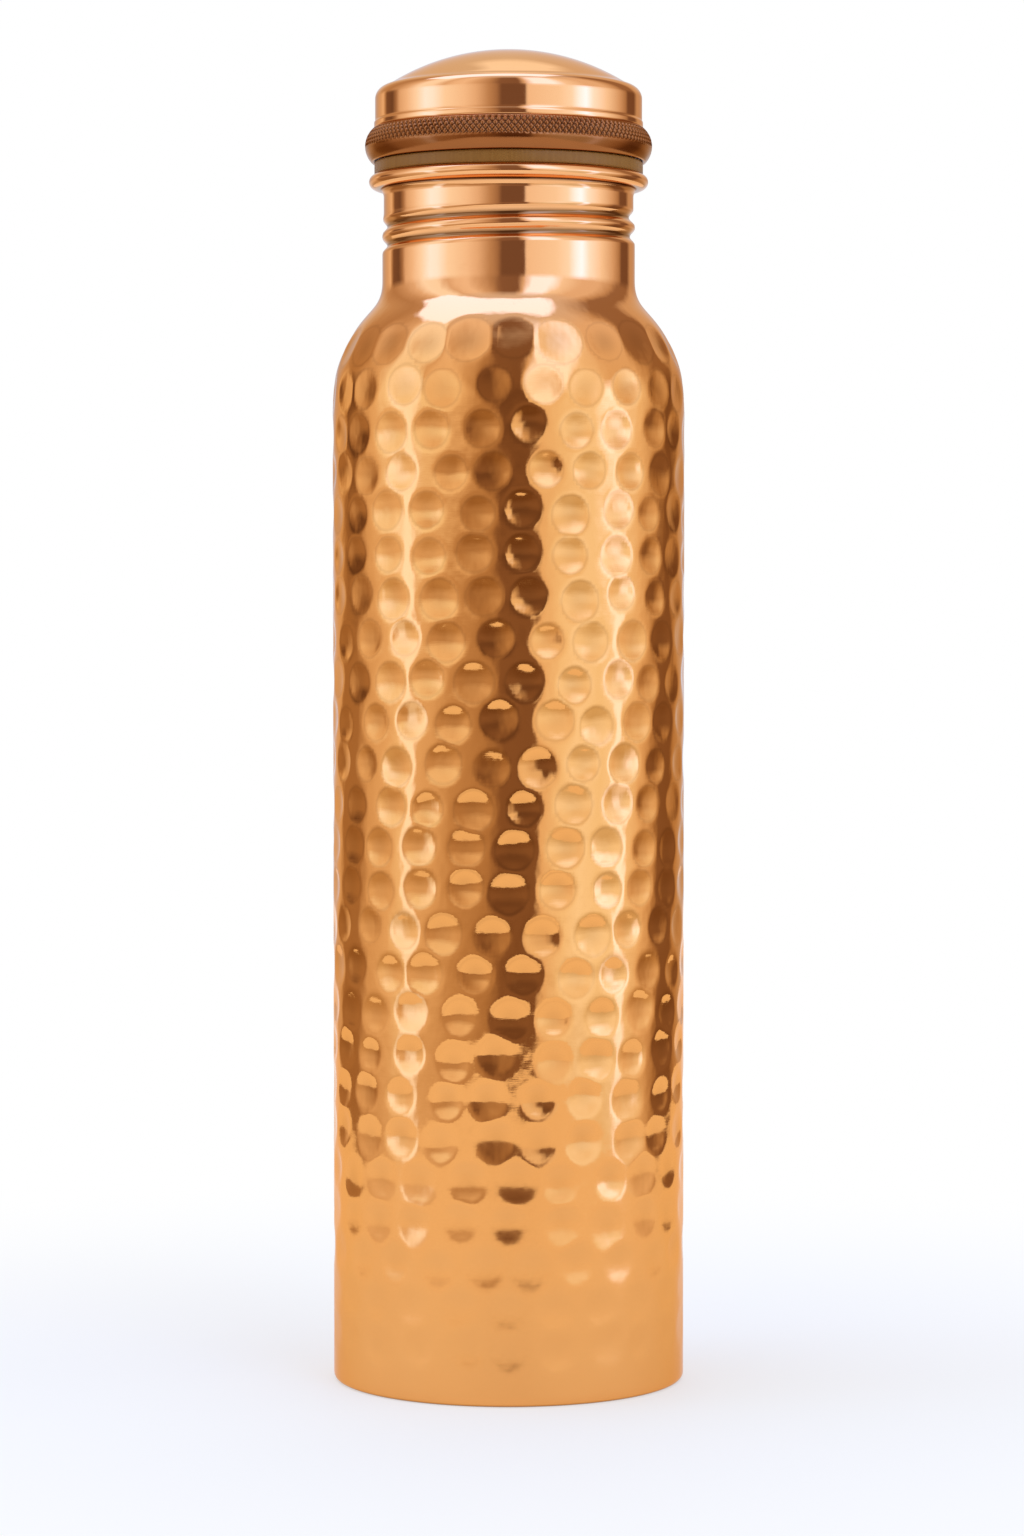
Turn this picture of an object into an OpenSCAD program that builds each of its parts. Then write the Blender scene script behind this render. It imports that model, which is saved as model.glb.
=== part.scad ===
// Copper water bottle with a domed screw cap, in millimetres.
// The origin is the centre of the base on the table, +Z is up.
// The cap's plug screws down into a thread that is rolled into the neck.

/* [Body] */
// Outer diameter of the body
body_d = 72; // [68:0.5:76]
// Thickness of the copper sheet
sheet_t = 0.7; // [0.65:0.05:0.8]
// Height at which the body starts to round in to the shoulder
shoulder_z = 200; // [120:1:240]
// Radius of the shoulder's curve
shoulder_r = 26.7; // [24:0.1:28]
// Outer radius of the edge round the base
base_edge_r = 1.2; // [1:0.05:1.2]

/* [Base] */
// Width of the rim that is crimped in under the base disc
crimp_w = 1.8; // [1.2:0.1:3]
// Height of the base disc's panel above the table
recess_h = 3.7; // [3:0.1:6]

/* [Neck] */
// Outer diameter of the neck
neck_d = 51.6; // [51.2:0.1:52]
// Radius of the hollow curve between the shoulder and the neck
neck_fillet_r = 7; // [5:0.5:8]
// Height of the neck, from the end of that curve to the mouth
neck_h = 22.4; // [22:0.1:26]
// Outer diameter of the curled mouth
lip_d = 57; // [56:0.1:57.6]
// Height of the curled mouth
lip_h = 4.8; // [4.6:0.1:5.2]

/* [Thread] */
// Rise of the thread in one turn
thread_lead = 3.8; // [3.7:0.1:4]
// Depth of the groove that the thread makes outside the neck
groove_depth = 1.05; // [0.9:0.05:1.1]
// Turns of the thread in the neck, with its ends
neck_turns = 2; // [1.5:0.25:2]
// Turns of the thread on the plug, with its ends
plug_turns = 1.5; // [1:0.25:1.5]
// Steps in one turn of the thread
steps_per_turn = 36; // [24:4:48]

/* [Cap] */
// Outer diameter of the crown's wall
crown_d = 54.5; // [54:0.1:54.8]
// Height of the crown, from its foot to the top of the dome
crown_h = 15.9; // [15.2:0.1:16.1]
// Height of the crown's wall, from its foot to the rounded corner
crown_wall_h = 6; // [5.8:0.1:6.8]
// Radius of the crown's rounded corner
crown_corner_r = 2.6; // [2.2:0.1:3]
// Radius of the dome
dome_r = 45.7; // [44:0.1:48]
// Radius of the hollow curve between the dome and the corner
dome_fillet_r = 8.5; // [7:0.5:10]
// Outer diameter of the knurled grip bead
grip_d = 58.6; // [58.4:0.1:59.4]
// Height of the grip bead
grip_h = 6.8; // [6.6:0.1:7]
// Radius of the grip bead's outer curve
bead_r = 4.6; // [4.5:0.1:5]
// Outer diameter of the gasket
gasket_d = 55; // [54:0.1:55.8]
// Thickness of the gasket
gasket_t = 2.6; // [2:0.1:3]
// Depth of the plug below the mouth
plug_depth = 14; // [13.6:0.1:14.4]

/* [Hidden] */
$fn = 96;

// Clearances: radial in the thread, between pieces that turn, between faces that part, in the brazed seat
thread_gap = 0.3;
turn_gap = 0.4;
face_gap = 0.05;
seat_gap = 0.05;
arc_steps = 12;

// Radii
body_r = body_d / 2;
neck_r = neck_d / 2;
neck_bore_r = neck_r - sheet_t;
groove_r = neck_r - groove_depth;
ridge_r = groove_r - sheet_t;
lip_r = lip_d / 2;
plug_r = ridge_r - turn_gap;
plug_crest_r = neck_bore_r - thread_gap;
crown_r = crown_d / 2;
foot_r = crown_r + 0.2;
grip_r = grip_d / 2;

// The shoulder's two curves: the first turns in, the second turns up into the neck
shoulder_c = [body_r - shoulder_r, shoulder_z];
fillet_x = neck_r + neck_fillet_r;
fillet_rise = sqrt(pow(shoulder_r + neck_fillet_r, 2) - pow(fillet_x - shoulder_c[0], 2));
fillet_c = [fillet_x, shoulder_z + fillet_rise];
shoulder_turn = atan2(fillet_rise, fillet_x - shoulder_c[0]);
mouth_z = fillet_c[1] + neck_h;

// The curled mouth: a small curve above its widest line, a larger one below it, then a cone to the neck
lip_top_r = 0.31 * lip_h;
lip_low_r = 0.37 * lip_h;
lip_mid_z = mouth_z - lip_top_r;
lip_turn = 54;

// The thread's middle line passes thread_z on the +X side
thread_z = mouth_z - 12.45;
neck_thread_start = -270;
plug_thread_start = -150;

// The cap, from its lowest face up
cap_z = mouth_z + gasket_t + 2 * face_gap;
plug_z = mouth_z - plug_depth;
foot_z = cap_z + grip_h;
top_z = foot_z + crown_h;
flare_h = 0.8;

// The bead is widest a little below its middle
bead_c = [grip_r - bead_r, cap_z + 0.47 * grip_h];

// The crown's three curves: dome, hollow, corner
dome_c = [0, top_z - dome_r];
corner_c = [crown_r - crown_corner_r, foot_z + crown_wall_h];
hollow_c = meet(dome_c, dome_r + dome_fillet_r, corner_c, crown_corner_r + dome_fillet_r);
dome_end = direction(dome_c, hollow_c);
corner_end = direction(corner_c, hollow_c);

// Angle of the line from p to q
function direction(p, q) = atan2(q[1] - p[1], q[0] - p[0]);

// The outer of the two points at distance a from p and b from q
function meet(p, a, q, b) =
    let (
        d = norm(q - p),
        along = (a * a - b * b + d * d) / (2 * d),
        off = sqrt(a * a - along * along),
        u = (q - p) / d
    )
    p + along * u + off * [-u[1], u[0]];

// Points on an arc of centre c and radius r, from angle a to angle b
function arc(c, r, a, b, steps = arc_steps) =
    [for (i = [0 : steps]) c + r * [cos(a + (b - a) * i / steps), sin(a + (b - a) * i / steps)]];

// The line of the body's outside (inset 0) or inside (inset sheet_t), from the base up to the neck
function shoulder_line(inset) = concat(
    arc(shoulder_c, shoulder_r - inset, 0, shoulder_turn),
    arc(fillet_c, neck_fillet_r + inset, 180 + shoulder_turn, 180)
);

// The line of the crown's outside or inside, from the middle of the dome to the top of the wall
function crown_line(inset) = concat(
    arc(dome_c, dome_r - inset, 90, dome_end),
    arc(hollow_c, dome_fillet_r + inset, dome_end - 180, corner_end - 180),
    arc(corner_c, crown_corner_r - inset, corner_end, 0)
);

function reversed(list) = [for (i = [len(list) - 1 : -1 : 0]) list[i]];

// Share of the full height of a thread that is reached at angle t of its whole sweep
function fade(t, sweep, ends) = min(1, t / ends, (sweep - t) / ends);

// A ridge that winds up round Z: its root is buried at root_r and its crest is at crest_r.
// At both ends the crest sinks to sunk_r, inside the wall that the ridge stands on.
module winding(root_r, crest_r, sunk_r, root_w, crest_w, start, turns) {
    ends = 60;
    sweep = turns * 360;
    steps = ceil(turns * steps_per_turn);
    points = [
        for (i = [0 : steps])
            let (
                t = sweep * i / steps,
                a = start + t,
                z = thread_lead * a / 360,
                share = fade(t, sweep, ends),
                crest = sunk_r + (crest_r - sunk_r) * share
            )
            for (p = [[root_r, -root_w / 2], [crest, -crest_w / 2], [crest, crest_w / 2], [root_r, root_w / 2]])
                [p[0] * cos(a), p[0] * sin(a), z + p[1]]
    ];
    sides = [
        for (i = [0 : steps - 1], k = [0 : 3])
            let (
                near = 4 * i + k,
                near_next = 4 * i + (k + 1) % 4
            )
            for (face = [[near, near_next, near + 4], [near_next, near_next + 4, near + 4]])
                crest_r > root_r ? face : reversed(face)
    ];
    first = [3, 2, 1, 0];
    last = [for (k = [0 : 3]) 4 * steps + k];
    caps = crest_r > root_r ? [first, last] : [reversed(first), reversed(last)];
    polyhedron(points = points, faces = concat(sides, caps), convexity = 6);
}

// Spun body: crimped rim, wall, shoulder, neck and curled mouth in one sheet
module shell_wall() {
    inner_edge_r = base_edge_r - sheet_t;
    rotate_extrude()
        polygon(concat(
            [[body_r - sheet_t - crimp_w, 0]],
            arc([body_r - base_edge_r, base_edge_r], base_edge_r, 270, 360, 6),
            shoulder_line(0),
            [[neck_r, mouth_z - lip_h]],
            arc([lip_r - lip_low_r, lip_mid_z], lip_low_r, -lip_turn, 0),
            arc([lip_r - lip_top_r, lip_mid_z], lip_top_r, 0, 90),
            [[neck_bore_r, mouth_z]],
            reversed(shoulder_line(sheet_t)),
            arc([body_r - base_edge_r, base_edge_r], inner_edge_r, 0, -90, 6),
            [[body_r - sheet_t - crimp_w, sheet_t]]
        ));
}

module body_shell() {
    // The thread stands in from the bore, and its groove shows outside
    buried_r = neck_bore_r + 0.35 * sheet_t;
    outside_r = neck_r + 0.6;
    color([0.80, 0.47, 0.26])
        difference() {
            union() {
                shell_wall();
                translate([0, 0, thread_z])
                    winding(buried_r, ridge_r, neck_bore_r + 0.1, 3.2, 1.6, neck_thread_start, neck_turns);
            }
            translate([0, 0, thread_z])
                winding(outside_r, groove_r, neck_r + 0.1, 3.4, 0.8, neck_thread_start, neck_turns);
        }
}

// Pressed disc with a turned-down skirt, set in above the crimped rim
module base_disc() {
    disc_r = body_r - sheet_t - seat_gap;
    skirt_r = disc_r - sheet_t;
    skirt_z = sheet_t + seat_gap;
    // The skirt's lower edge is cut back, to clear the bend between the wall and the rim
    edge_cut = base_edge_r - sheet_t;
    color([0.76, 0.44, 0.25])
        rotate_extrude()
            polygon([
                [skirt_r, skirt_z],
                [disc_r - edge_cut, skirt_z],
                [disc_r, skirt_z + edge_cut],
                [disc_r, recess_h + sheet_t],
                [0, recess_h + sheet_t],
                [0, recess_h],
                [skirt_r, recess_h]
            ]);
}

// Flat silicone ring between the cap and the mouth
module cap_gasket() {
    color([0.56, 0.47, 0.29])
        translate([0, 0, mouth_z + face_gap])
            difference() {
                cylinder(r = gasket_d / 2, h = gasket_t);
                translate([0, 0, -1])
                    cylinder(r = plug_r + turn_gap / 2, h = gasket_t + 2);
            }
}

// Threaded cup under the cap, with a flange that presses on the gasket
module cap_plug() {
    corner_r = 1.6;
    flange_r = bead_c[0] + sqrt(pow(bead_r - sheet_t, 2) - pow(bead_c[1] - cap_z, 2)) - seat_gap;
    inner_r = plug_r - sheet_t;
    color([0.78, 0.46, 0.26]) {
        rotate_extrude()
            polygon(concat(
                [[0, plug_z]],
                arc([plug_r - corner_r, plug_z + corner_r], corner_r, 270, 360, 6),
                [
                    [plug_r, cap_z],
                    [flange_r, cap_z],
                    [flange_r, cap_z + sheet_t],
                    [inner_r, cap_z + sheet_t]
                ],
                arc([plug_r - corner_r, plug_z + corner_r], corner_r - sheet_t, 0, -90, 6),
                [[0, plug_z + sheet_t]]
            ));
        translate([0, 0, thread_z + thread_lead / 2])
            winding(plug_r - 0.5 * sheet_t, plug_crest_r, plug_r - 0.1, 2.1, 0.5, plug_thread_start, plug_turns);
    }
}

// Hollow bead that is gripped to turn the cap, with a web that carries the crown
module grip_ring() {
    low = asin((cap_z - bead_c[1]) / bead_r);
    high = asin((foot_z - bead_c[1]) / bead_r);
    inner_bead_r = bead_r - sheet_t;
    inner_low = asin((cap_z - bead_c[1]) / inner_bead_r);
    inner_high = asin((foot_z - sheet_t - bead_c[1]) / inner_bead_r);
    web_r = crown_r - 1.6;
    color([0.60, 0.34, 0.20])
        rotate_extrude()
            polygon(concat(
                arc(bead_c, bead_r, low, high, 2 * arc_steps),
                [[web_r, foot_z], [web_r, foot_z - sheet_t]],
                arc(bead_c, inner_bead_r, inner_high, inner_low, 2 * arc_steps)
            ));
}

// Domed pressing with a straight wall and a slightly flared foot
module cap_crown() {
    color([0.84, 0.52, 0.30])
        rotate_extrude()
            polygon(concat(
                crown_line(0),
                [
                    [crown_r, foot_z + 2 * flare_h],
                    [foot_r, foot_z + flare_h],
                    [foot_r, foot_z],
                    [crown_r - sheet_t, foot_z]
                ],
                reversed(crown_line(sheet_t))
            ));
}

body_shell();
base_disc();
cap_gasket();
cap_plug();
grip_ring();
cap_crown();
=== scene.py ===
"""Looks of the hammered copper bottle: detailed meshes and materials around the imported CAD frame."""

import math

import bpy
import numpy as np
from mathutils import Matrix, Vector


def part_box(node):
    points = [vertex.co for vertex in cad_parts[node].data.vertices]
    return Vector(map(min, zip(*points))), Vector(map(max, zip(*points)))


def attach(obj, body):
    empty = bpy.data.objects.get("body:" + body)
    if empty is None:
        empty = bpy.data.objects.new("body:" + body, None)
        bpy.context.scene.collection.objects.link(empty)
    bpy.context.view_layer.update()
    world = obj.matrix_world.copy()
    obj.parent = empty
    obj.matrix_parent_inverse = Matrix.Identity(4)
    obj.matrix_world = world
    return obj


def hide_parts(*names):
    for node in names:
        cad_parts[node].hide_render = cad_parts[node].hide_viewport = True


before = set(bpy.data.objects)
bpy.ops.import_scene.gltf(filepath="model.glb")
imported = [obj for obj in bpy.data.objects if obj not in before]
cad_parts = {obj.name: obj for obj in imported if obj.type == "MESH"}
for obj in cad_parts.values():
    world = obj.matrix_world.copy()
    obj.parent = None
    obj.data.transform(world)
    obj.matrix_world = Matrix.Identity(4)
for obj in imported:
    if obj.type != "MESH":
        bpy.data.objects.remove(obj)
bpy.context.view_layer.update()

MM = 0.001
TURN = 2 * math.pi
rng = np.random.default_rng(11)

# ---------------------------------------------------------------- sizes, from the frame

shell_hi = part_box("body_shell")[1]
gasket_lo, gasket_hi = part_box("cap_gasket")
plug_lo, plug_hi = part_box("cap_plug")
ring_lo, ring_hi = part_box("grip_ring")
crown_lo, crown_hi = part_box("cap_crown")
disc_lo, disc_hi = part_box("base_disc")

SHEET = 0.7 * MM

# The body: its bottom edge's rounding, the crimp under it, its shoulder, its neck below and above the
# thread, and the fillet between shoulder and neck
BODY_R = shell_hi.x
MOUTH_Z = shell_hi.z
EDGE_R = 1.2 * MM
CRIMP = 1.8 * MM
SHOULDER_Z = 200 * MM
SHOULDER_R = 26.7 * MM
NECK_R = 25.8 * MM
BAND_R = 25.5 * MM
FILLET_R = 7 * MM
# The curled lip: its radius and height, its upper and lower curves as shares of that height, how far
# round the lower one goes, and the rounding where the lip meets the bore
LIP_R = 28.5 * MM
LIP_H = 2.9 * MM
LIP_TOP_SHARE = 0.46
LIP_LOW_SHARE = 0.51
LIP_TURN = 85
LIP_INNER_R = 0.4 * MM

# The thread rolled into the neck: a winding is its start, its length and its faded ends, in degrees.
# The ridge that the groove makes inside the neck is a little wider than the groove.
LEAD = 3.8 * MM
THREAD_Z = MOUTH_Z - 12.45 * MM
GROOVE_DEPTH = 1.05 * MM
GROOVE_HALF = 1.65 * MM
GROOVE_BACK_HALF = 1.9 * MM
NECK_WINDING = (-270, 720, 75)

# The plug and the ridge round it, which runs between two turns of the neck's thread
PLUG_R = 23.65 * MM
PLUG_CREST_R = 24.8 * MM
RIDGE_HALF = 1.35 * MM
PLUG_WINDING = (-150, 540, 50)


# ---------------------------------------------------------------- mesh tools

def arc(centre, radius, start, stop, steps):
    """Points on a circle of the profile plane, from one angle in degrees to another."""
    angle = np.radians(np.linspace(start, stop, steps + 1))
    return np.stack([centre[0] + radius * np.cos(angle), centre[1] + radius * np.sin(angle)], 1)


def line(start, stop, step):
    """Evenly spaced points on a straight stretch of a profile."""
    start, stop = np.array(start), np.array(stop)
    count = max(int(round(np.linalg.norm(stop - start) / step)), 1)
    return start + (stop - start) * np.linspace(0, 1, count + 1)[:, None]


def joined(*stretches):
    """One profile from several stretches, with no point given twice."""
    points = np.concatenate(stretches)
    apart = np.linalg.norm(np.diff(points, axis=0), axis=1) > 1e-7
    return points[np.concatenate([[True], apart])]


def eased(profile, first, last, times):
    """A profile with the bends between two of its points softened."""
    profile = profile.copy()
    for _ in range(times):
        beside = profile[first - 1:last - 1] + profile[first + 1:last + 1]
        profile[first:last] = (beside + 2 * profile[first:last]) / 4
    return profile


def outward(profile, closed):
    """Unit normals of a profile that is walked with the material on its left."""
    if closed:
        along = np.roll(profile, -1, 0) - np.roll(profile, 1, 0)
    else:
        along = np.gradient(profile, axis=0)
    along /= np.maximum(np.linalg.norm(along, axis=1), 1e-12)[:, None]
    return np.stack([along[:, 1], -along[:, 0]], 1)


def smooth_object(name, points, faces):
    """A smooth-shaded object in the scene, from its points and faces."""
    mesh = bpy.data.meshes.new(name)
    mesh.from_pydata(points.tolist(), [], faces)
    mesh.validate()
    mesh.polygons.foreach_set("use_smooth", [True] * len(mesh.polygons))
    piece = bpy.data.objects.new(name, mesh)
    bpy.context.scene.collection.objects.link(piece)
    return piece


def revolved(name, profile, columns, closed=True, lift=None):
    """Turns a profile round Z. A profile that isn't closed starts and ends on the axis.

    lift(theta) gives how far each point moves along its own normal and how far it is pressed in, from
    0 to 1. The second is kept as the mesh's "hollow" attribute, which says where the materials paint shade.
    """
    normal = outward(profile, closed)
    theta = np.arange(columns) * TURN / columns
    move = hollow = np.zeros((len(profile), columns))
    if lift is not None:
        move, hollow = lift(theta)
    radius = profile[:, :1] + normal[:, :1] * move
    height = profile[:, 1:] + normal[:, 1:] * move
    points = np.stack([radius * np.cos(theta), radius * np.sin(theta), height], 2)
    rows = len(profile)
    index = np.arange(rows * columns).reshape(rows, columns)
    if not closed:
        index[0, :] = index[0, 0]
        index[-1, :] = index[-1, 0]
    below = index if closed else index[:-1]
    above = np.roll(index, -1, 0) if closed else index[1:]
    beside = np.roll(below, -1, 1)
    beside_above = np.roll(above, -1, 1)
    quads = np.stack([below, beside, beside_above, above], 2).reshape(-1, 4)
    faces = [tuple(dict.fromkeys(q)) for q in quads.tolist()]
    faces = [f for f in faces if len(f) > 2]
    flat = points.reshape(-1, 3)
    used = np.zeros(len(flat), bool)
    used[index.reshape(-1)] = True
    number = np.cumsum(used) - 1
    piece = smooth_object(name, flat[used], [tuple(int(number[i]) for i in f) for f in faces])
    pressed = piece.data.attributes.new("hollow", "FLOAT", "POINT")
    pressed.data.foreach_set("value", hollow.reshape(-1)[used].astype(np.float32))
    return piece


def swell(x):
    """A smooth step from 0 to 1."""
    x = np.clip(x, 0, 1)
    return x * x * (3 - 2 * x)


# ---------------------------------------------------------------- the thread, shared by neck and plug

# The distance, in metres, of a point that no turn of the thread passes
FAR_AWAY = 1.0


def nearest_turn(theta, z, winding, offset):
    """How far each point is above or below the nearest turn, and how far that turn has faded in."""
    start, sweep, fade = (np.radians(degrees) for degrees in winding)
    z = z - THREAD_Z - offset
    turn = np.round((z / LEAD) - theta / TURN)
    best = np.full(np.broadcast(theta, z).shape, FAR_AWAY)
    share = np.zeros_like(best)
    for step in (-1, 0, 1):
        angle = theta + TURN * (turn + step)
        t = angle - start
        inside = (t > 0) & (t < sweep)
        away = np.abs(z - LEAD * angle / TURN)
        near = inside & (away < best)
        best = np.where(near, away, best)
        share = np.where(near, swell(np.minimum(t, sweep - t) / fade), share)
    return best, share


def rolled(theta, z, winding, half_width, offset=0):
    """The section of a rolled thread: 0 on the bare wall and 1 in the middle of a turn."""
    away, share = nearest_turn(theta[None, :], z, winding, offset)
    return share * np.cos(np.clip(away / half_width, 0, 1) * math.pi / 2) ** 2


# ---------------------------------------------------------------- hammer marks

MARKS_ROUND = 23
ROW_STEP = 8.3 * MM
TOP_ROW = SHOULDER_Z + 2 * MM
SHOULDER_ROW = SHOULDER_Z + 12 * MM
# How far each row is turned, in degrees, from the shoulder's row down
ROW_TURN = (
    3, -5, 6.5, -4, 5, 5, 7.5, -4, 5, -2, -6, 5, 1.5,
    1, -4.5, 5, -0.5, -2.5, -5, -5.5, 2.5, 1, -8, 0, 1,
)
# How many rows are struck in full from the top, and how deep the rows below them are beside those
FULL_ROWS = 16
FAINT = (1.0, 1.0, 0.95, 0.9, 0.85, 0.75, 0.6, 0.42, 0.55)
# A mark's section is a paraboloid, raised to this power. Those of the shoulder's row are larger.
MARK_RADIUS = 4.0 * MM
MARK_DEPTH = 0.40 * MM
MARK_POWER = 1.08
SHOULDER_MARK = 1.2
# How far a mark strays from its even place and size, and how far its deepest point leans aside
STRAY_ROUND = 0.09
STRAY_UP = 0.8 * MM
STRAY_RADIUS = (0.9, 1.1)
STRAY_DEPTH = (0.85, 1.12)
STRAY_LEAN = 0.32


def marks():
    """(angle, height along the wall, radius, depth, lean) of every hammer mark."""
    found = []
    for row, turned in enumerate(ROW_TURN):
        share = 1.0 if row < FULL_ROWS else FAINT[row - FULL_ROWS]
        middle = SHOULDER_ROW if row == 0 else TOP_ROW - ROW_STEP * (row - 1)
        size = SHOULDER_MARK if row == 0 else 1.0
        for i in range(MARKS_ROUND):
            step = i + rng.uniform(-STRAY_ROUND, STRAY_ROUND)
            angle = math.radians(turned - 90) + TURN * step / MARKS_ROUND
            height = middle + rng.uniform(-STRAY_UP, STRAY_UP)
            radius = MARK_RADIUS * size * rng.uniform(*STRAY_RADIUS)
            depth = MARK_DEPTH * share * size * rng.uniform(*STRAY_DEPTH)
            lean = rng.uniform(-STRAY_LEAN, STRAY_LEAN, 2)
            found.append((angle, height, radius, depth, lean))
    return found


def hammered(theta, along, radius):
    """How far each point of the wall is struck in: theta by column, along and radius by row."""
    depth = np.zeros((len(along), len(theta)))
    for angle, height, size, deep, lean in marks():
        rows = np.where(np.abs(along - height) < size)[0]
        if not len(rows):
            continue
        rows = np.arange(rows[0], rows[-1] + 1)
        across = (theta - angle + math.pi) % TURN - math.pi
        columns = np.where(np.abs(across) * radius[rows].max() < size)[0]
        u = across[columns][None, :] * radius[rows][:, None] / size
        v = (along[rows][:, None] - height) / size
        inside = np.clip(1 - u * u - v * v, 0, None)
        patch = np.ix_(rows, columns)
        pressed = deep * inside ** MARK_POWER * (1 + lean[0] * u + lean[1] * v)
        depth[patch] = np.maximum(depth[patch], pressed)
    return depth


# ---------------------------------------------------------------- pieces

# Below the lowest deep marks the wall needs fewer points
FINE_FROM = 40 * MM
# The bend between shoulder and neck is softened this far below and above its fillet, this many times
EASED_FROM = SHOULDER_Z + 12 * MM
EASED_PAST = 3 * MM
EASED_TIMES = 7


def body_profile():
    """The body's section, in three stretches: up the outside, over the lip and down the inside."""
    rim_r = BODY_R - SHEET - CRIMP
    centre = (BODY_R - SHOULDER_R, SHOULDER_Z)
    fillet_x = NECK_R + FILLET_R
    rise = math.sqrt((SHOULDER_R + FILLET_R) ** 2 - (fillet_x - centre[0]) ** 2)
    fillet = (fillet_x, SHOULDER_Z + rise)
    turn = math.degrees(math.atan2(rise, fillet_x - centre[0]))
    edge = (BODY_R - EDGE_R, EDGE_R)
    lip_top = LIP_TOP_SHARE * LIP_H
    lip_low = LIP_LOW_SHARE * LIP_H
    lip_z = MOUTH_Z - lip_top
    crease_z = MOUTH_Z - LIP_H
    low_curve = arc((LIP_R - lip_low, lip_z), lip_low, -LIP_TURN, 0, 7)
    bore = NECK_R - SHEET
    outside = joined(
        line((rim_r, 0), (edge[0], 0), 0.9 * MM),
        arc(edge, EDGE_R, -90, 0, 5),
        line((BODY_R, EDGE_R), (BODY_R, FINE_FROM), 1.05 * MM),
        line((BODY_R, FINE_FROM), (BODY_R, SHOULDER_Z), 0.8 * MM),
        arc(centre, SHOULDER_R, 0, turn, 26),
        arc(fillet, FILLET_R, 180 + turn, 180, 9),
        line((NECK_R, fillet[1]), (NECK_R, crease_z), 0.42 * MM),
    )
    bent = np.where((outside[:, 1] > EASED_FROM) & (outside[:, 1] < fillet[1] + EASED_PAST))[0]
    outside = eased(outside, bent[0], bent[-1] + 1, EASED_TIMES)
    lip = joined(
        line((BAND_R, crease_z), low_curve[0], 0.35 * MM)[1:],
        low_curve,
        arc((LIP_R - lip_top, lip_z), lip_top, 0, 90, 6),
        line((LIP_R - lip_top, MOUTH_Z), (bore + LIP_INNER_R + 0.1 * MM, MOUTH_Z), 0.8 * MM),
        arc((bore + LIP_INNER_R, MOUTH_Z - LIP_INNER_R), LIP_INNER_R, 90, 180, 3),
    )
    inside = joined(
        line((bore, MOUTH_Z - LIP_H), (bore, fillet[1]), 0.6 * MM),
        arc(fillet, FILLET_R + SHEET, 180, 180 + turn, 4),
        arc(centre, SHOULDER_R - SHEET, turn, 0, 8),
        line((BODY_R - SHEET, SHOULDER_Z), (BODY_R - SHEET, EDGE_R), 20 * MM),
        arc(edge, EDGE_R - SHEET, 0, -90, 3),
        line((edge[0], SHEET), (rim_r, SHEET), 0.9 * MM),
    )
    return outside, lip, inside


# From this far above THREAD_Z the neck narrows to its upper band, over this height
NARROWS_FROM = 2 * MM
NARROWS_OVER = 3 * MM
# Right under the lip the wall flares out towards it, by this much over this height
FLARE = 0.7 * MM
FLARE_H = 1.4 * MM
# The groove shows on the inside only above this height, in the neck
NECK_INSIDE_FROM = 225 * MM
# How much painted shade a full mark and the middle of a groove hold, how far round the crease under the lip
# it reaches, across and up, and how far up the body's bottom edge
MARK_SHADE = 0.3
GROOVE_SHADE = 0.9
CREASE_REACH = (1.7 * MM, 0.4 * MM)
CORNER_REACH = 0.3 * MM


def wall_length(wall):
    """How far along its section each point of the wall is. The shoulder starts at SHOULDER_Z."""
    step = np.linalg.norm(np.diff(wall, axis=0), axis=1)
    along = np.concatenate([[0], np.cumsum(step)])
    return along + (SHOULDER_Z - along[np.argmin(np.abs(wall[:, 1] - SHOULDER_Z))])


def corner_shade(profile):
    """How much painted shade the crease under the lip and the bottom edge hold, by point of the section."""
    from_crease = (profile - (BAND_R, MOUTH_Z - LIP_H)) / CREASE_REACH
    crease = np.exp(-(from_crease ** 2).sum(1))
    return np.maximum(crease, np.exp(-np.abs(profile[:, 1]) / CORNER_REACH))


def make_body():
    """The spun body: hammered wall, rolled groove with its ridge inside, flare and lip."""
    outside, lip, inside = body_profile()
    profile = joined(outside, lip, inside)
    out_rows = len(outside)
    in_row = out_rows + len(lip)

    def lift(theta):
        move = np.zeros((len(profile), len(theta)))
        hollow = np.zeros_like(move)
        wall = profile[:out_rows]
        hollow[:out_rows] = hammered(theta, wall_length(wall), wall[:, 0])
        move -= hollow
        z = profile[:, 1:]
        groove = rolled(theta, z, NECK_WINDING, GROOVE_HALF)
        slim = (NECK_R - BAND_R) * swell((z - THREAD_Z - NARROWS_FROM) / NARROWS_OVER)
        move[:out_rows] -= (GROOVE_DEPTH * groove + slim)[:out_rows]
        under_lip = np.clip(1 + (z - (MOUTH_Z - LIP_H)) / FLARE_H, 0, 1) ** 2
        move[:out_rows] += FLARE * under_lip[:out_rows]
        ridge = rolled(theta, z, NECK_WINDING, GROOVE_BACK_HALF)
        neck_inside = (np.arange(len(profile)) > in_row)[:, None] & (z > NECK_INSIDE_FROM)
        move += GROOVE_DEPTH * ridge * neck_inside
        # Painted shade: darker in each hammer mark, in the groove, in the crease under the lip and at the
        # body's bottom edge
        shade_share = np.maximum(MARK_SHADE * hollow / MARK_DEPTH, GROOVE_SHADE * groove ** 2)
        hollow[:out_rows] = shade_share[:out_rows]
        return move, np.maximum(hollow, corner_shade(profile)[:, None])

    piece = revolved("body_hammered", profile, 300, lift=lift)
    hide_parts("body_shell")
    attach(piece, "bottle")
    return piece


# The spun rings in the base disc, as (radius, half width), and how high they stand
BASE_RINGS = ((22 * MM, 1.2 * MM), (29 * MM, 0.9 * MM))
BASE_RING_H = 0.25 * MM


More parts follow.
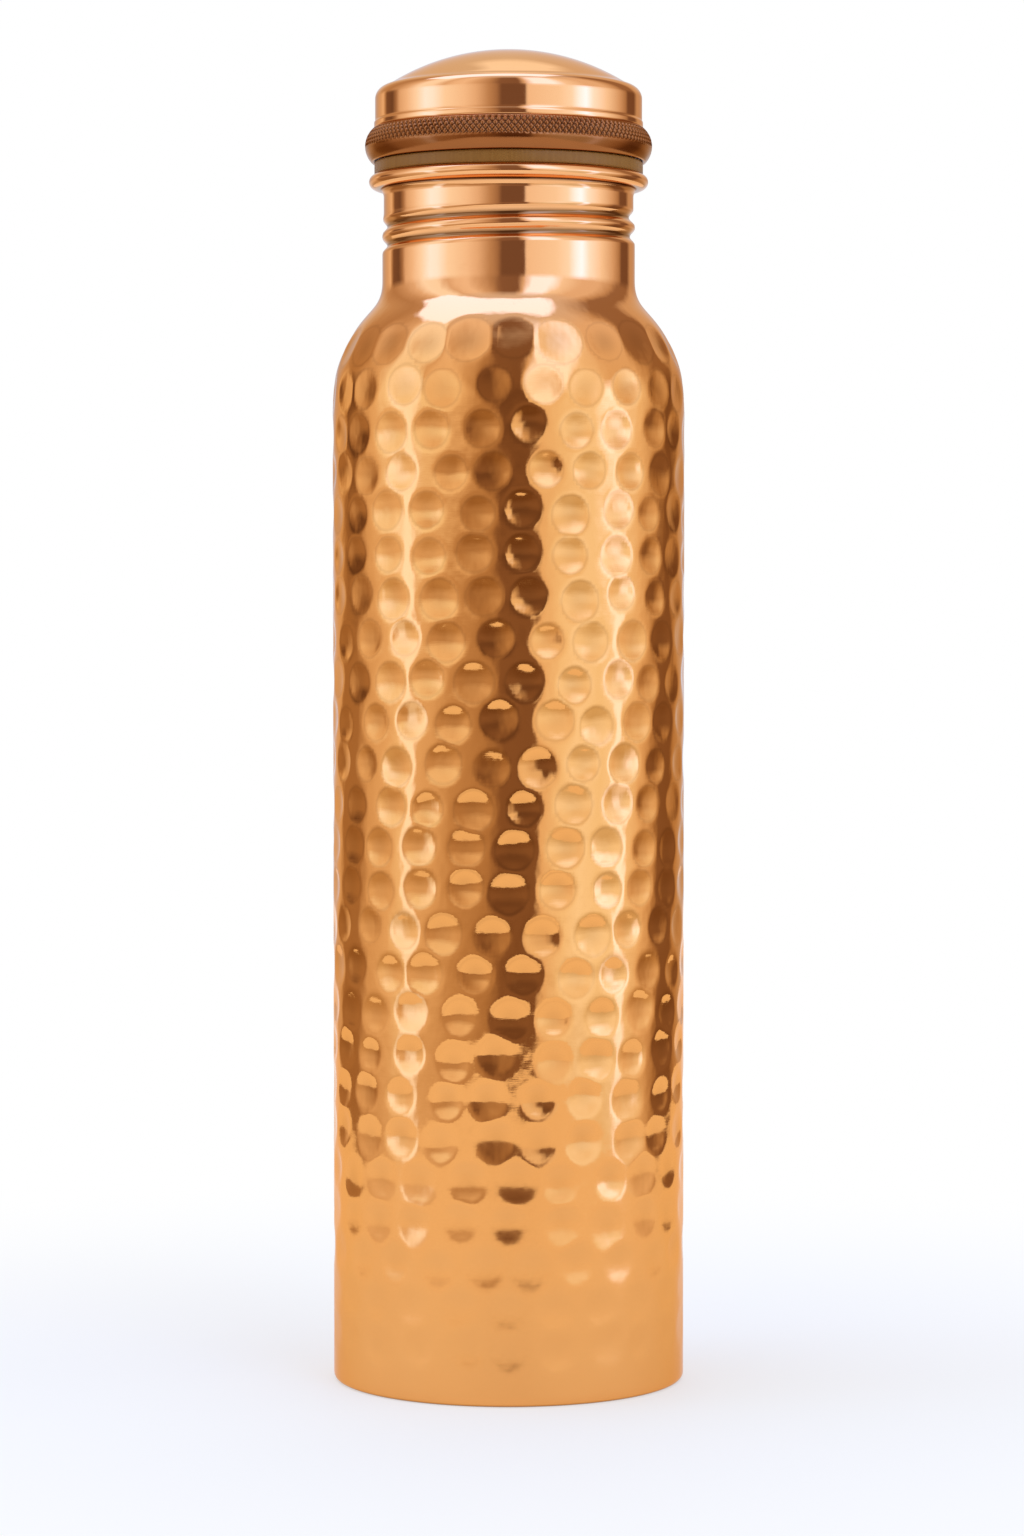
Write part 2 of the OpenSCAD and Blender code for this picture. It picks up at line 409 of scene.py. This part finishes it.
def make_base():
    """The pressed disc: a shallow pan with a turned-down edge and spun rings."""
    outer = disc_hi.x
    low, top = disc_lo.z, disc_hi.z
    corner = 0.9 * MM
    profile = joined(
        line((0, top - SHEET), (outer - SHEET - 0.3 * MM, top - SHEET), 1.2 * MM),
        line((outer - SHEET, top - SHEET - 0.3 * MM), (outer - SHEET, low), 0.8 * MM),
        line((outer - SHEET, low), (outer, low), 0.35 * MM),
        line((outer, low), (outer, top - corner), 0.8 * MM),
        arc((outer - corner, top - corner), corner, 0, 90, 5),
        line((outer - corner, top), (0, top), 1.2 * MM),
    )

    def lift(theta):
        r = profile[:, :1]
        ring = sum(np.exp(-((r - middle) / half) ** 2) for middle, half in BASE_RINGS)
        panel = (np.abs(profile[:, 1:] - (top - SHEET)) < 1e-5) * 1.0
        ring = np.repeat(panel * ring, len(theta), 1)
        return ring * BASE_RING_H, ring

    piece = revolved("base_pan", profile, 180, closed=False, lift=lift)
    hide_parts("base_disc")
    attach(piece, "bottle")
    return piece


# The gasket's outside is a little wavy, as (height of the waves, how many go round, where they start)
GASKET_WAVES = ((0.04 * MM, 5, 0.6), (0.03 * MM, 11, 0.0))


def make_gasket():
    """A soft ring with rounded edges, squeezed between the cap and the mouth."""
    inner, outer = PLUG_R + 0.2 * MM, gasket_hi.x
    low, top = gasket_lo.z, gasket_hi.z
    edge = 0.35 * MM
    profile = joined(
        line((inner + edge, low), (outer - edge, low), 0.7 * MM),
        arc((outer - edge, low + edge), edge, -90, 0, 4),
        arc((outer - edge, top - edge), edge, 0, 90, 4),
        line((outer - edge, top), (inner + edge, top), 0.7 * MM),
        arc((inner + edge, top - edge), edge, 90, 180, 3),
        arc((inner + edge, low + edge), edge, 180, 270, 3),
    )[:-1]

    def lift(theta):
        wave = sum(high * np.sin(count * theta + start) for high, count, start in GASKET_WAVES)
        rim = profile[:, :1] > outer - 0.2 * MM
        inwards = sum(high for high, _, _ in GASKET_WAVES)
        move = rim * (wave[None, :] - inwards)
        return move, np.zeros_like(move)

    piece = revolved("seal_ring", profile, 240, lift=lift)
    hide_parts("cap_gasket")
    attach(piece, "gasket")
    return piece


def make_plug():
    """The threaded cup: rounded bottom, rolled thread, and the flange that presses on the gasket."""
    low, top = plug_lo.z, plug_hi.z
    corner = 1.6 * MM
    flange = plug_hi.x
    bend = 0.5 * MM
    under = top - SHEET
    inner = PLUG_R - SHEET
    profile = joined(
        line((0, low), (PLUG_R - corner, low), 1.5 * MM),
        arc((PLUG_R - corner, low + corner), corner, -90, 0, 6),
        line((PLUG_R, low + corner), (PLUG_R, under - bend), 0.3 * MM),
        arc((PLUG_R + bend, under - bend), bend, 180, 90, 3),
        line((PLUG_R + bend, under), (flange, under), 0.8 * MM),
        line((flange, under), (flange, top), 0.35 * MM),
        line((flange, top), (inner, top), 0.8 * MM),
        line((inner, top), (inner, low + corner), 1.5 * MM),
        arc((PLUG_R - corner, low + corner), corner - SHEET, 0, -90, 4),
        line((PLUG_R - corner, low + SHEET), (0, low + SHEET), 1.5 * MM),
    )

    def lift(theta):
        z = profile[:, 1:]
        wall = (profile[:, :1] > PLUG_R - 0.05 * MM) & (z < under - 2 * bend)
        ridge = rolled(theta, z, PLUG_WINDING, RIDGE_HALF, LEAD / 2)
        return wall * ridge * (PLUG_CREST_R - PLUG_R), wall * (1 - ridge)

    piece = revolved("plug_cup", profile, 216, closed=False, lift=lift)
    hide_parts("cap_plug")
    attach(piece, "cap")
    return piece


# The bead's section, and where its middle is as a share of the ring's height
BEAD_R = 4.6 * MM
BEAD_MIDDLE = 0.47
WEB_R = 25.65 * MM
# The knurl: teeth round the bead, points across a tooth, depth, how tall a diamond is beside its
# width, and how flat it is on top
KNURL_TEETH = 140
TOOTH_COLUMNS = 7
KNURL_DEPTH = 0.42 * MM
KNURL_TALL = 1.25
KNURL_FLAT = 2.2


def make_grip():
    """The bead: diamond knurl over its upper half, smooth below, hollow inside."""
    low, top = ring_lo.z, ring_hi.z
    centre = (ring_hi.x - BEAD_R, low + BEAD_MIDDLE * (top - low))
    knurl_low = centre[1] - 0.4 * MM
    knurl_top = top - 0.3 * MM
    inner_r = BEAD_R - SHEET

    def angle(z, r):
        return math.degrees(math.asin((z - centre[1]) / r))

    profile = joined(
        arc(centre, BEAD_R, angle(low, BEAD_R), angle(knurl_low, BEAD_R), 14),
        arc(centre, BEAD_R, angle(knurl_low, BEAD_R), angle(knurl_top, BEAD_R), 26),
        arc(centre, BEAD_R, angle(knurl_top, BEAD_R), angle(top, BEAD_R), 2),
        line((centre[0] + 2.4 * MM, top), (WEB_R, top), 0.8 * MM),
        line((WEB_R, top), (WEB_R, top - SHEET), 0.4 * MM),
        arc(centre, inner_r, angle(top - SHEET, inner_r), angle(low, inner_r), 10),
    )

    def line_cut(phase):
        return 1 - np.abs(2 * (phase % 1) - 1)

    def lift(theta):
        r, z = profile[:, :1], profile[:, 1:]
        on_bead = r > centre[0] + 2.9 * MM
        rise = (z - knurl_low) / (ring_hi.x * TURN / KNURL_TEETH) / KNURL_TALL
        turn = theta[None, :] * KNURL_TEETH / TURN
        cut = np.minimum(line_cut(turn + rise), line_cut(turn - rise))
        band = swell((z - knurl_low) / (0.5 * MM)) * swell((knurl_top + 0.1 * MM - z) / (0.25 * MM))
        pressed = (1 - np.clip(cut * KNURL_FLAT, 0, 1)) * band * on_bead
        return -KNURL_DEPTH * pressed, pressed

    piece = revolved("grip_knurl", profile, KNURL_TEETH * TOOTH_COLUMNS, lift=lift)
    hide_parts("grip_ring")
    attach(piece, "cap")
    return piece


# The crown's curves: the dome, the hollow round it and the corner that rolls over into the wall
DOME_R = 45.7 * MM
HOLLOW_R = 8.5 * MM
CORNER_R = 2.6 * MM
CORNER_Z = 6 * MM
FOOT_FLARE = 0.8 * MM


def bearing(start, stop):
    """The direction from one point of the profile plane to another, in degrees."""
    return math.degrees(math.atan2(stop[1] - start[1], stop[0] - start[0]))


def between_circles(first, first_r, second, second_r):
    """The point at the two given distances from two others, on the left of the way between them."""
    span = np.linalg.norm(second - first)
    along = (first_r * first_r - second_r * second_r + span * span) / (2 * span)
    off = math.sqrt(first_r * first_r - along * along)
    u = (second - first) / span
    return first + along * u + off * np.array((-u[1], u[0]))


def make_crown():
    """The domed pressing: dome, hollow, rounded corner, straight wall and a flared foot."""
    foot_z, top = crown_lo.z, crown_hi.z
    foot_r = crown_hi.x
    wall_r = foot_r - 0.2 * MM
    dome = np.array((0, top - DOME_R))
    corner = np.array((wall_r - CORNER_R, foot_z + CORNER_Z))
    hollow = between_circles(dome, DOME_R + HOLLOW_R, corner, CORNER_R + HOLLOW_R)
    dome_end, corner_end = bearing(dome, hollow), bearing(corner, hollow)

    def skin(inset, steps):
        return joined(
            arc(dome, DOME_R - inset, 90, dome_end, steps),
            arc(hollow, HOLLOW_R + inset, dome_end - 180, corner_end - 180, 5),
            arc(corner, CORNER_R - inset, corner_end, 0, 10),
        )

    outer = joined(
        skin(0, 40),
        line((wall_r, corner[1]), (wall_r, foot_z + 2.2 * FOOT_FLARE), 0.4 * MM),
        arc((wall_r + FOOT_FLARE, foot_z + 2.2 * FOOT_FLARE), FOOT_FLARE, 180, 221, 5),
        line((foot_r, foot_z + 1.2 * FOOT_FLARE), (foot_r, foot_z + 0.15 * MM), 0.3 * MM),
        line((foot_r - 0.15 * MM, foot_z), (wall_r - SHEET, foot_z), 0.5 * MM),
    )
    profile = joined(outer, skin(SHEET, 14)[::-1])[::-1]
    piece = revolved("cap_dome", profile, 240, closed=False)
    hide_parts("cap_crown")
    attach(piece, "cap")
    return piece


# ---------------------------------------------------------------- materials

def feed(socket, value):
    """Links an input to a node's output, or sets it to a plain value."""
    if isinstance(value, bpy.types.NodeSocket):
        socket.id_data.links.new(value, socket)
    else:
        socket.default_value = value


def node_maker(tree):
    """A function that adds a node to the tree and feeds its named inputs."""
    def add(kind, **inputs):
        node = tree.nodes.new(kind)
        for key, value in inputs.items():
            feed(node.inputs[key.replace("_", " ")], value)
        return node

    return add


def new_material(name):
    """A fresh material: (material, node maker, its Principled shader)."""
    material = bpy.data.materials.new(name)
    material.use_nodes = True
    return material, node_maker(material.node_tree), material.node_tree.nodes["Principled BSDF"]


def calc(add, operation, first, second=0.0):
    """A sum, product or other operation on one or two numbers."""
    node = add("ShaderNodeMath")
    node.operation = operation
    feed(node.inputs[0], first)
    feed(node.inputs[1], second)
    return node.outputs[0]


def ramp(add, value, low, high, first=0.0, last=1.0, shape="SMOOTHSTEP"):
    """Maps a value between two limits, smoothly and clamped."""
    node = add("ShaderNodeMapRange", Value=value, From_Min=low, From_Max=high, To_Min=first, To_Max=last)
    node.interpolation_type = shape
    return node.outputs["Result"]


def mixed(add, factor, first, second, kind="MIX"):
    """A colour between two others, or two colours blended in another way."""
    node = add("ShaderNodeMix")
    node.data_type = "RGBA"
    node.blend_type = kind
    for socket, value in ((node.inputs[0], factor), (node.inputs[6], first), (node.inputs[7], second)):
        feed(socket, value)
    return node.outputs[2]


def noise(add, factors, scale, detail):
    """Noise in the piece's own coordinates, stretched by the three factors."""
    place = add("ShaderNodeTexCoord")
    mapping = add("ShaderNodeMapping", Vector=place.outputs["Object"], Scale=factors)
    node = add("ShaderNodeTexNoise", Vector=mapping.outputs["Vector"], Scale=scale, Detail=detail)
    return node.outputs["Fac"]


def pressed_in(add):
    """How far each point of the piece is pressed in, from 0 to 1."""
    node = add("ShaderNodeAttribute")
    node.attribute_name = "hollow"
    return node.outputs["Fac"]


# Brown painted shade for hollows, creases and the marks' rims, and the tint that copper keeps at a glancing
# angle
PAINTED_SHADE = (0.10, 0.036, 0.014, 1)
EDGE_TINT = (0.95, 0.72, 0.52, 1)


def shade_in_hollows(add, most):
    """How much painted shade covers each point: none where nothing is pressed in, most in the deepest
    hollows.
    """
    return ramp(add, pressed_in(add), 0.1, 0.9, 0.0, most)


def shade_on_rims(add, most):
    """How much painted shade lies on the thin line round each hammer mark, where a mark just begins."""
    begins = ramp(add, pressed_in(add), 0.0, 0.03, 0.0, most)
    line_only = ramp(add, pressed_in(add), 0.03, 0.09, 1.0, 0.0)
    return calc(add, "MULTIPLY", begins, line_only)


def as_copper(shader):
    """What all the copper has in common: bare metal with a warm edge."""
    shader.inputs["Metallic"].default_value = 1
    shader.inputs["Specular Tint"].default_value = EDGE_TINT


def paint(piece, material):
    """Gives a piece its one material."""
    piece.data.materials.clear()
    piece.data.materials.append(material)


# How deep brush lines are, and how strongly copper's tone drifts where nothing else is said
LINE_DEPTH = 0.02 * MM
PATINA = 0.35


def copper(name, colour, shade, rough, brush, hollow_shade=0.0):
    """Copper with a slow drift of tone, fine brush lines, small changes of gloss and painted shade in
    hollows.
    """
    material, add, shader = new_material(name)
    tone = ramp(add, noise(add, (1, 1, 1), 38, 3), 0.35, 0.7, 0.0, PATINA)
    clean = mixed(add, tone, colour, shade)
    # Painted shade darkens the hollows here
    feed(shader.inputs["Base Color"], mixed(add, shade_in_hollows(add, hollow_shade), clean, PAINTED_SHADE))
    lines = noise(add, (260, 260, 5200), 1, 2)
    feed(shader.inputs["Roughness"], ramp(add, lines, 0.3, 0.75, *rough))
    bump = add("ShaderNodeBump", Height=lines, Strength=brush, Distance=LINE_DEPTH)
    feed(shader.inputs["Normal"], bump.outputs["Normal"])
    as_copper(shader)
    return material


# The hammered body's colours: where it is clear and where it is worn, low down and higher up
CLEAR_LOW = (0.88, 0.400, 0.120, 1)
CLEAR_HIGH = (0.89, 0.405, 0.118, 1)
WORN_LOW = (0.82, 0.360, 0.102, 1)
WORN_HIGH = (0.81, 0.350, 0.094, 1)
NECK_COLOUR = (0.94, 0.47, 0.20, 1)
# How far it drifts towards worn, and the most painted shade in its hollows and on the marks' rims
WEAR = 0.45
HOLLOW_SHADE = 0.75
RIM_SHADE = 0.13
# Its roughness at the bottom and higher up, and what its grain adds to that
SATIN_TO_GLOSS = (0.19, 0.055)
GRIT = (-0.01, 0.012)
# The heights, in metres, over which these colours, the painted shade on the rims and the gloss change, and
# over which the wall's slight waves die out
HIGHER = (0.05, 0.095)
NECK_BEGINS = (0.2, 0.225)
RIMS_BEGIN = (0.06, 0.11)
SATIN_ENDS = (0.0, 0.08)
WAVES_END = (0.218, 0.232)
WAVE_DEPTH = 0.08 * MM


def body_colour(add, height):
    """Golden on the hammered wall and redder on the neck, with painted shade in the hollows and on the
    rims.
    """
    tone = ramp(add, noise(add, (1, 1, 0.6), 30, 4), 0.35, 0.7, 0.0, WEAR)
    higher = ramp(add, height, *HIGHER)
    clear = mixed(add, higher, CLEAR_LOW, CLEAR_HIGH)
    worn = mixed(add, higher, WORN_LOW, WORN_HIGH)
    wall = mixed(add, tone, clear, worn)
    clean = mixed(add, ramp(add, height, *NECK_BEGINS), wall, NECK_COLOUR)
    # Painted shade in the marks, the groove, the crease under the lip and the bottom edge, and on the
    # marks' rims
    shaded = mixed(add, shade_in_hollows(add, HOLLOW_SHADE), clean, PAINTED_SHADE)
    rims = calc(add, "MULTIPLY", shade_on_rims(add, RIM_SHADE), ramp(add, height, *RIMS_BEGIN))
    return mixed(add, rims, shaded, PAINTED_SHADE)


def hammered_copper():
    """The body's copper: glossy on the hammered wall and the neck, satin towards the base."""
    material, add, shader = new_material("copper_hammered")
    place = add("ShaderNodeTexCoord")
    height = add("ShaderNodeSeparateXYZ", Vector=place.outputs["Object"]).outputs["Z"]
    feed(shader.inputs["Base Color"], body_colour(add, height))
    satin = ramp(add, height, *SATIN_ENDS, *SATIN_TO_GLOSS)
    grit = ramp(add, noise(add, (1, 1, 1), 1400, 2), 0.3, 0.7, *GRIT)
    feed(shader.inputs["Roughness"], calc(add, "ADD", satin, grit))
    lines = noise(add, (500, 500, 3800), 1, 2)
    fine = add("ShaderNodeBump", Height=lines, Strength=0.12, Distance=LINE_DEPTH)
    swells = noise(add, (1, 1, 0.7), 210, 2)
    on_wall = ramp(add, height, *WAVES_END, 1.0, 0.1)
    wavy = add("ShaderNodeBump", Height=swells, Strength=on_wall, Distance=WAVE_DEPTH)
    feed(wavy.inputs["Normal"], fine.outputs["Normal"])
    feed(shader.inputs["Normal"], wavy.outputs["Normal"])
    as_copper(shader)
    return material


KHAKI = (0.290, 0.124, 0.021, 1)
KHAKI_PALE = (0.315, 0.140, 0.026, 1)
STREAK_DEPTH = 0.05 * MM


def silicone():
    """Khaki silicone with faint upright streaks."""
    material, add, shader = new_material("silicone_khaki")
    streak = noise(add, (1500, 1500, 60), 1, 2)
    tone = ramp(add, streak, 0.3, 0.7)
    feed(shader.inputs["Base Color"], mixed(add, tone, KHAKI, KHAKI_PALE))
    bump = add("ShaderNodeBump", Height=streak, Strength=0.3, Distance=STREAK_DEPTH)
    feed(shader.inputs["Normal"], bump.outputs["Normal"])
    shader.inputs["Roughness"].default_value = 0.42
    shader.inputs["Specular IOR Level"].default_value = 0.22
    return material


# ---------------------------------------------------------------- studio

# The light all round the bottle in three rings, as (azimuth in degrees, brightness): level with it, a
# little above that, and high up. 0 is towards the camera and positive is to its right. The dark
# stretches are the gaps between the softboxes.
LIGHT_LEVEL = (
    (-180, 0.80), (-144, 0.80), (-137, 0.44), (-116, 0.44), (-104, 0.78), (-86, 0.90),
    (-75, 1.02), (-71, 1.30), (-66, 1.30), (-62, 0.88), (-48, 0.80), (-38, 0.64), (-14, 0.50),
    (-5, 0.27), (17, 0.25), (21, 0.92), (34, 1.05), (46, 1.12), (62, 1.07), (71, 1.12),
    (74, 1.45), (78, 1.45), (82, 1.04), (94, 0.93), (102, 0.76), (109, 0.50), (115, 0.27),
    (131, 0.26), (138, 0.55), (150, 0.66), (166, 0.74), (180, 0.80),
)
LIGHT_NECK = (
    (-180, 0.62), (-158, 0.62), (-144, 0.78), (-138, 0.92), (-134, 0.60), (-130, 0.22),
    (-119, 0.17), (-113, 0.42), (-108, 0.80), (-98, 0.96), (-86, 1.10), (-76, 1.28),
    (-68, 1.24), (-56, 1.07), (-38, 0.99), (-28, 0.86), (-17, 0.56), (-10, 0.40), (-6, 0.19),
    (14, 0.19), (16, 0.98), (44, 1.04), (56, 1.12), (63, 1.36), (70, 1.52), (78, 1.20),
    (94, 1.02), (110, 0.74), (121, 0.46), (125, 0.20), (138, 0.20), (146, 0.62),
)
LIGHT_RAISED = (
    (-180, 0.78), (-160, 0.76), (-146, 0.60), (-130, 0.50), (-112, 0.65), (-98, 0.85),
    (-84, 1.10), (-70, 1.08), (-58, 0.80), (-50, 0.92), (-40, 0.96), (-28, 0.74), (-16, 0.50),
    (-8, 0.26), (9, 0.24), (14, 0.80), (22, 1.32), (40, 1.34), (52, 1.02), (72, 0.86), (92, 0.85),
    (108, 0.60), (118, 0.34), (136, 0.34), (146, 0.70), (180, 0.78),
)
# The heights, as the sine of the elevation, over which each ring passes into the next
NECK_FROM = (-0.01, 0.075)
RAISED_FROM = (0.13, 0.26)
CEILING_FROM = (0.82, 0.96)
# How green and how blue light is beside its red, by its brightness. A gap between softboxes is the
# warm dark of the room, and a softbox looks cooler the brighter it is.
WARMTH_LIGHT = (0.2, 0.45, 0.6, 0.97, 1.07, 1.2, 1.5)
WARMTH_GREEN = (0.64, 0.75, 0.82, 1.01, 1.19, 1.32, 1.39)
WARMTH_BLUE = (0.50, 0.56, 0.67, 1.08, 1.47, 2.1, 3.0)
# The backdrop behind the bottle is cooler: how much green and blue it adds, and the azimuths between
# which it starts
BACKDROP_ADDS = (0.24, 0.55)
BACKDROP_FROM = (142, 165)
CEILING = (0.75, 0.80, 0.98, 1)
# Below the level ring the room is darker and warmer: by how much, and the heights it fades between
LOW_SHARE = (0.72, 0.63, 0.48, 1)
LOW_FROM = (-0.20, -0.07)
# The softbox overhead, by its slope from straight up: to the left and right, to the front and back
OVERHEAD = 1.40
OVERHEAD_SIDES = (-0.72, 0.33)
OVERHEAD_ENDS = (-0.16, 0.40)
# The small softbox high behind the bottle, by how far it reaches across and by its height
BEHIND = 1.10
BEHIND_SIDES = (-0.14, 0.24)
BEHIND_HEIGHTS = (0.68, 0.84)
BEHIND_FROM = (0.05, 0.15)
# Half the width of a softbox's soft edge, and the least slope that is divided by
BOX_EDGE = 0.04
LEAST = 0.05
BACKGROUND = 1.0
WHITE = (BACKGROUND, BACKGROUND, BACKGROUND, 1)


def tinted(light, azimuth=0):
    """The colour of a light from its brightness and where it stands."""
    back = float(np.interp(abs(azimuth), BACKDROP_FROM, (0, 1)))
    green = np.interp(light, WARMTH_LIGHT, WARMTH_GREEN) + BACKDROP_ADDS[0] * back
    blue = np.interp(light, WARMTH_LIGHT, WARMTH_BLUE) + BACKDROP_ADDS[1] * back
    return (light, light * float(green), light * float(blue), 1)


def light_ring(add, azimuth, stops):
    """The light of one ring at an azimuth that runs from 0 to 1."""
    node = add("ShaderNodeValToRGB", Fac=azimuth)
    steps = node.color_ramp.elements
    while len(steps) < len(stops):
        steps.new(0.5)
    for step, (angle, light) in zip(steps, stops):
        step.position = angle / 360 + 0.5
        step.color = tinted(light, angle)
    return node.outputs["Color"]


def between(add, value, low, high):
    """How far a value has come from one limit to the other, clamped."""
    return ramp(add, value, low, high, shape="LINEAR")


def within(add, value, limits):
    """1 between two limits and 0 outside them, with soft edges."""
    past_first = between(add, value, limits[0] - BOX_EDGE, limits[0] + BOX_EDGE)
    before_last = between(add, value, limits[1] + BOX_EDGE, limits[1] - BOX_EDGE)
    return calc(add, "MULTIPLY", past_first, before_last)


def slope(add, side, axis):
    """How far a direction goes to one side for each step that it goes along an axis."""
    return calc(add, "DIVIDE", side, calc(add, "MAXIMUM", axis, LEAST))


def ring_light(add, across, away, height):
    """The light of the rings, from the low dark up to the ceiling."""
    towards = calc(add, "MULTIPLY", away, -1)
    turned = calc(add, "DIVIDE", calc(add, "ARCTAN2", across, towards), TURN)
    azimuth = calc(add, "ADD", turned, 0.5)
    level = light_ring(add, azimuth, LIGHT_LEVEL)
    low = mixed(add, between(add, height, *LOW_FROM), LOW_SHARE, (1, 1, 1, 1))
    light = mixed(add, 1, level, low, "MULTIPLY")
    light = mixed(add, between(add, height, *NECK_FROM), light, light_ring(add, azimuth, LIGHT_NECK))
    light = mixed(add, between(add, height, *RAISED_FROM), light, light_ring(add, azimuth, LIGHT_RAISED))
    return mixed(add, between(add, height, *CEILING_FROM), light, CEILING)


def studio():
    """Soft light from all round, with gaps that the copper reflects. The camera itself sees plain white."""
    world = bpy.data.worlds.new("studio")
    bpy.context.scene.world = world
    world.use_nodes = True
    add = node_maker(world.node_tree)
    place = add("ShaderNodeTexCoord")
    split = add("ShaderNodeSeparateXYZ", Vector=place.outputs["Generated"])
    across, away, height = split.outputs["X"], split.outputs["Y"], split.outputs["Z"]
    room = ring_light(add, across, away, height)
    overhead_sides = within(add, slope(add, across, height), OVERHEAD_SIDES)
    overhead_ends = within(add, slope(add, away, height), OVERHEAD_ENDS)
    overhead = calc(add, "MULTIPLY", overhead_sides, overhead_ends)
    room = mixed(add, overhead, room, tinted(OVERHEAD))
    behind_sides = within(add, slope(add, across, away), BEHIND_SIDES)
    behind = calc(add, "MULTIPLY", behind_sides, within(add, height, BEHIND_HEIGHTS))
    behind = calc(add, "MULTIPLY", behind, between(add, away, *BEHIND_FROM))
    room = mixed(add, behind, room, tinted(BEHIND))
    seen = add("ShaderNodeLightPath")
    shown = mixed(add, seen.outputs["Is Camera Ray"], room, WHITE)
    feed(world.node_tree.nodes["Background"].inputs["Color"], shown)


TABLE_HALF_WIDTH = 0.38
TABLE_FRONT = -0.62
TABLE_BACK = 1.4
TABLE_CORNER = 0.12
TABLE_COLOUR = (0.96, 0.93, 0.77, 1)
# How far from the bottle the table fades into the white, in metres, and how white it is before that
TABLE_FADES = (0.05, 0.30)
TABLE_WHITE = 0.5


def table_top():
    """A plain pale table, rounded at its corners, that fades to the white around it."""
    corner = TABLE_CORNER
    outline = []
    for cx, cy, start in (
        (TABLE_HALF_WIDTH - corner, TABLE_BACK - corner, 0),
        (corner - TABLE_HALF_WIDTH, TABLE_BACK - corner, 90),
        (corner - TABLE_HALF_WIDTH, TABLE_FRONT + corner, 180),
        (TABLE_HALF_WIDTH - corner, TABLE_FRONT + corner, 270),
    ):
        outline += [(x, y, 0) for x, y in arc((cx, cy), corner, start, start + 90, 12)]
    mesh = bpy.data.meshes.new("table_top")
    mesh.from_pydata(outline, [], [tuple(range(len(outline)))])
    floor = bpy.data.objects.new("table_top", mesh)
    bpy.context.scene.collection.objects.link(floor)
    material, add, shader = new_material("table_white")
    shader.inputs["Base Color"].default_value = TABLE_COLOUR
    shader.inputs["Roughness"].default_value = 0.7
    shader.inputs["Specular IOR Level"].default_value = 0.1
    place = add("ShaderNodeTexCoord")
    reach = add("ShaderNodeVectorMath")
    reach.operation = "LENGTH"
    feed(reach.inputs[0], place.outputs["Object"])
    far = ramp(add, reach.outputs["Value"], *TABLE_FADES, TABLE_WHITE, 1.0)
    white = add("ShaderNodeEmission", Strength=BACKGROUND)
    mix = add("ShaderNodeMixShader", Fac=far)
    feed(mix.inputs[1], shader.outputs[0])
    feed(mix.inputs[2], white.outputs[0])
    output = next(n for n in material.node_tree.nodes if n.type == "OUTPUT_MATERIAL")
    feed(output.inputs["Surface"], mix.outputs[0])
    paint(floor, material)


CAMERA_DISTANCE = 0.868
CAMERA_HEIGHT = 0.159
CAMERA_ASIDE = 0.0007
CAMERA_DOWN = 2.21
CAMERA_LENS = 99.1


def camera():
    """From the front, a little above the middle of the bottle and tilted down a little."""
    data = bpy.data.cameras.new("camera")
    data.lens = CAMERA_LENS
    data.clip_start = 0.01
    data.clip_end = 20
    eye = bpy.data.objects.new("camera", data)
    eye.location = (CAMERA_ASIDE, -CAMERA_DISTANCE, CAMERA_HEIGHT)
    eye.rotation_euler = (math.radians(90 - CAMERA_DOWN), 0, 0)
    bpy.context.scene.collection.objects.link(eye)
    bpy.context.scene.camera = eye


# ---------------------------------------------------------------- build

BRIGHT = (0.94, 0.47, 0.20, 1)
BRIGHT_SHADE = (0.90, 0.43, 0.17, 1)
PLAIN = (0.85, 0.42, 0.17, 1)
PLAIN_SHADE = (0.7, 0.32, 0.12, 1)
BROWN = (0.37, 0.128, 0.038, 1)
BROWN_SHADE = (0.27, 0.083, 0.022, 1)
# Least and most roughness
POLISHED = (0.035, 0.07)
DULL = (0.22, 0.36)
RUBBED = (0.13, 0.2)

camera()
studio()
table_top()
bpy.context.scene.view_settings.view_transform = "Standard"

polished = copper("copper_polished", BRIGHT, BRIGHT_SHADE, POLISHED, 0.08)
paint(make_body(), hammered_copper())
paint(make_base(), copper("copper_base", PLAIN, PLAIN_SHADE, DULL, 0.3))
paint(make_gasket(), silicone())
paint(make_plug(), polished)
# The knurl's valleys get painted shade in full
paint(make_grip(), copper("copper_knurled", BROWN, BROWN_SHADE, RUBBED, 0.2, hollow_shade=1.0))
paint(make_crown(), polished)
